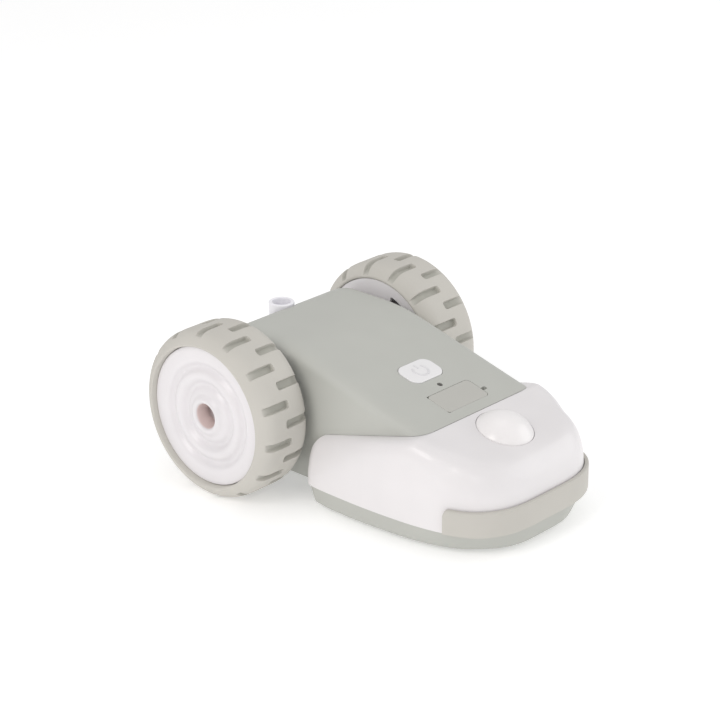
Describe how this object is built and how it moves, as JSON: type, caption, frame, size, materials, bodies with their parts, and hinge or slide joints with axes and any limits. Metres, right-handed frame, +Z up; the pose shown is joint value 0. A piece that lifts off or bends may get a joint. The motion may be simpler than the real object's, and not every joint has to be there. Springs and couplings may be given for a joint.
{
  "type": "robotic pool cleaner",
  "caption": "Low cordless robotic pool cleaner with a sloping grey body, a white nose cover with a dome lamp, a soft front bumper and large treaded rear wheels.",
  "frame": {"origin": "on the floor it stands on, under the middle of its bounding box", "axes": "-Y towards the nose, +Y towards the wheels and tail, +Z up, X along the wheel axles"},
  "size_m": [0.275, 0.343, 0.15],
  "materials": {
    "grey_shell": "fine matte moulded texture",
    "base_grey": "fine matte moulded texture",
    "white_cover": "satin-gloss white, softly reflecting",
    "bumper_rubber": "matte soft rubber",
    "button_white": "glossy white with a raised symbol",
    "clear_light": "clear light guide in a dark hole",
    "flap_grey": "matte soft flap",
    "black_plastic": "moulded black plastic",
    "lamp_dome": "glossy milky white diffuser",
    "circuit_board": "green solder mask",
    "black_rubber": "black seal rubber",
    "motor_steel": "plain motor can",
    "stainless": "turned stainless steel",
    "nozzle_white": "glossy white moulding",
    "basket_white": "white moulded frame",
    "latch_grey": "matte grey",
    "cell_wrap": "blue shrink wrap",
    "gear_white": "natural acetal",
    "brass": "turned brass",
    "tyre_grey": "matte soft-touch tyre",
    "hub_white": "satin-gloss white",
    "roller_white": "natural acetal"
  },
  "bodies": {
    "body": {"upper_shell": "grey_shell", "nose_cover": "white_cover", "base_pan": "base_grey", "bumper_strip": "bumper_rubber", "status_light": "clear_light", "charge_socket": "black_plastic", "lamp_lens": "lamp_dome", "lamp_board": "circuit_board", "pump_housing": "black_plastic", "shaft_seal": "black_rubber", "pump_motor": "motor_steel", "outlet_pipe": "black_plastic", "outlet_nozzle": "nozzle_white", "filter_basket": "basket_white", "dry_box": "black_plastic", "dry_box_gasket": "black_rubber", "dry_box_lid": "black_plastic", "button_membrane": "black_rubber", "tact_switch": "black_plastic", "control_board": "circuit_board", "battery_cell_1": "cell_wrap", "battery_cell_2": "cell_wrap", "battery_cell_3": "cell_wrap", "left_drive_motor": "motor_steel", "left_gear_case": "black_plastic", "left_axle_bush": "brass", "left_roller_pin": "stainless", "right_drive_motor": "motor_steel", "right_gear_case": "black_plastic", "right_axle_bush": "brass", "right_roller_pin": "stainless", "base_screw_1": "stainless", "base_screw_2": "stainless", "base_screw_3": "stainless", "base_screw_4": "stainless"},
    "left_wheel": {"left_tyre": "tyre_grey", "left_wheel_rim": "hub_white", "left_wheel_disc": "hub_white", "left_axle": "stainless", "left_axle_nut": "stainless", "left_drive_gear": "gear_white"},
    "right_wheel": {"right_tyre": "tyre_grey", "right_wheel_rim": "hub_white", "right_wheel_disc": "hub_white", "right_axle": "stainless", "right_axle_nut": "stainless", "right_drive_gear": "gear_white"},
    "left_pinion": {"left_motor_pinion": "brass"},
    "right_pinion": {"right_motor_pinion": "brass"},
    "impeller": {"impeller": "black_plastic", "pump_shaft": "stainless"},
    "button": {"power_button": "button_white"},
    "port_flap": {"port_flap": "flap_grey"},
    "filter_door": {"filter_door": "base_grey"},
    "intake_flap": {"intake_flap": "black_rubber"},
    "door_latch": {"door_latch": "latch_grey"},
    "left_roller": {"left_support_roller": "roller_white"},
    "right_roller": {"right_support_roller": "roller_white"}
  },
  "joints": [
    {"name": "left_wheel_spin", "type": "hinge", "parent": "body", "child": "left_wheel", "pos_m": [-0.109, 0.0965, 0.075], "axis": [1, 0, 0], "continuous": true},
    {"name": "right_wheel_spin", "type": "hinge", "parent": "body", "child": "right_wheel", "pos_m": [0.109, 0.0965, 0.075], "axis": [1, 0, 0], "continuous": true},
    {"name": "left_pinion_spin", "type": "hinge", "parent": "body", "child": "left_pinion", "pos_m": [-0.059, 0.066, 0.075], "axis": [1, 0, 0], "continuous": true},
    {"name": "right_pinion_spin", "type": "hinge", "parent": "body", "child": "right_pinion", "pos_m": [0.059, 0.066, 0.075], "axis": [1, 0, 0], "continuous": true},
    {"name": "impeller_spin", "type": "hinge", "parent": "body", "child": "impeller", "pos_m": [0, 0.106, 0.04], "axis": [0, 0, 1], "continuous": true},
    {"name": "button_press", "type": "slide", "parent": "body", "child": "button", "axis": [0, 0.2466, -0.9691], "range_m": [0, 0.0015], "stiffness_N_per_m": 400, "springref_m": -0.0008},
    {"name": "port_flap_hinge", "type": "hinge", "parent": "body", "child": "port_flap", "pos_m": [-0.0239, -0.06823, 0.09874], "axis": [0, -0.9691, -0.2466], "range_deg": [0, 90]},
    {"name": "filter_door_hinge", "type": "hinge", "parent": "body", "child": "filter_door", "pos_m": [0, -0.0059, 0.006], "axis": [1, 0, 0], "range_deg": [0, 80]},
    {"name": "intake_flap_hinge", "type": "hinge", "parent": "filter_door", "child": "intake_flap", "pos_m": [0, -0.0405, 0.0171], "axis": [-1, 0, 0], "range_deg": [0, 70]},
    {"name": "door_latch_slide", "type": "slide", "parent": "body", "child": "door_latch", "axis": [0, -1, 0], "range_m": [0, 0.004], "stiffness_N_per_m": 200, "springref_m": -0.001},
    {"name": "left_roller_spin", "type": "hinge", "parent": "body", "child": "left_roller", "pos_m": [-0.038, -0.128, 0.007], "axis": [1, 0, 0], "continuous": true},
    {"name": "right_roller_spin", "type": "hinge", "parent": "body", "child": "right_roller", "pos_m": [0.038, -0.128, 0.007], "axis": [1, 0, 0], "continuous": true}
  ],
  "couplings": [
    {"joint": "left_pinion_spin", "follows": "left_wheel_spin", "ratio": -3},
    {"joint": "right_pinion_spin", "follows": "right_wheel_spin", "ratio": -3}
  ]
}
